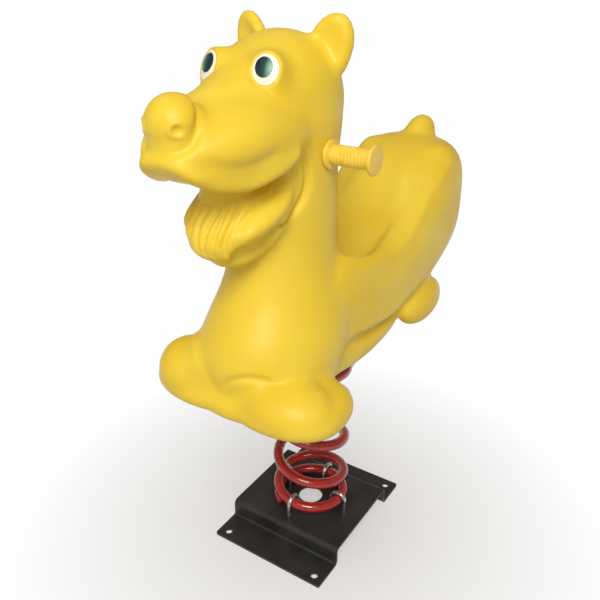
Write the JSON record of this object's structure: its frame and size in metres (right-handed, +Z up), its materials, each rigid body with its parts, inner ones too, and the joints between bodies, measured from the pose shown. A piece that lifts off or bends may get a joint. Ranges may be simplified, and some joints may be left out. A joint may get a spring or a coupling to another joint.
{
  "type": "spring rider",
  "caption": "Playground spring rider: a hollow moulded animal with seat, backrest and hand grips on a heavy coil spring, clamped to a folded steel ground plate.",
  "frame": {"origin": "centre of the four ground anchor holes, at the underside of the base plate (on the ground)", "axes": "+Z up, the animal faces -Y with its tail towards +Y, its left side is +X"},
  "size_m": [0.34, 0.8239, 0.9566],
  "materials": {
    "black_powder_coat": "satin black powder coat on steel",
    "red_powder_coat": "glossy red powder coat on spring steel",
    "zinc_steel": "bright zinc-plated steel",
    "bar_steel": "galvanised steel tube",
    "insert_brass": "turned brass",
    "yellow_plastic": "rotomoulded polyethylene, soft gloss, warm yellow",
    "pale_yellow_plastic": "injection-moulded grip plastic, pale yellow",
    "white_plastic": "glossy white plastic",
    "teal_plastic": "glossy dark teal plastic"
  },
  "bodies": {
    "base": {"base_plate": "black_powder_coat", "base_clamps": "zinc_steel", "base_clamp_washers": "zinc_steel", "base_clamp_nuts": "zinc_steel", "spring_base_coil": "red_powder_coat"},
    "lower_spring": {"spring_lower_coil": "red_powder_coat"},
    "upper_spring": {"spring_upper_coil": "red_powder_coat"},
    "rider": {"spring_top_coil": "red_powder_coat", "top_clamps": "zinc_steel", "top_clamp_washers": "zinc_steel", "top_clamp_nuts": "zinc_steel", "top_plate": "black_powder_coat", "body_bolts": "zinc_steel", "body_bolt_washers": "zinc_steel", "threaded_inserts": "insert_brass", "body_shell": "yellow_plastic", "handle_bar": "bar_steel", "left_grip": "pale_yellow_plastic", "right_grip": "pale_yellow_plastic", "left_eye_white": "white_plastic", "right_eye_white": "white_plastic", "left_iris": "teal_plastic", "right_iris": "teal_plastic"}
  },
  "joints": [
    {"name": "bounce", "type": "slide", "parent": "base", "child": "lower_spring", "axis": [0, 0, 1], "range_m": [-0.012, 0.005], "stiffness_N_per_m": 205000, "deforming": ["spring_lower_coil"]},
    {"name": "rock", "type": "hinge", "parent": "lower_spring", "child": "upper_spring", "pos_m": [0, 0, 0.2], "axis": [1, 0, 0], "range_deg": [-15, 15], "stiffness_Nm_per_rad": 980, "deforming": ["spring_upper_coil"]},
    {"name": "sway", "type": "hinge", "parent": "upper_spring", "child": "rider", "pos_m": [0, 0, 0.28], "axis": [0, 1, 0], "range_deg": [-10, 10], "stiffness_Nm_per_rad": 980}
  ]
}
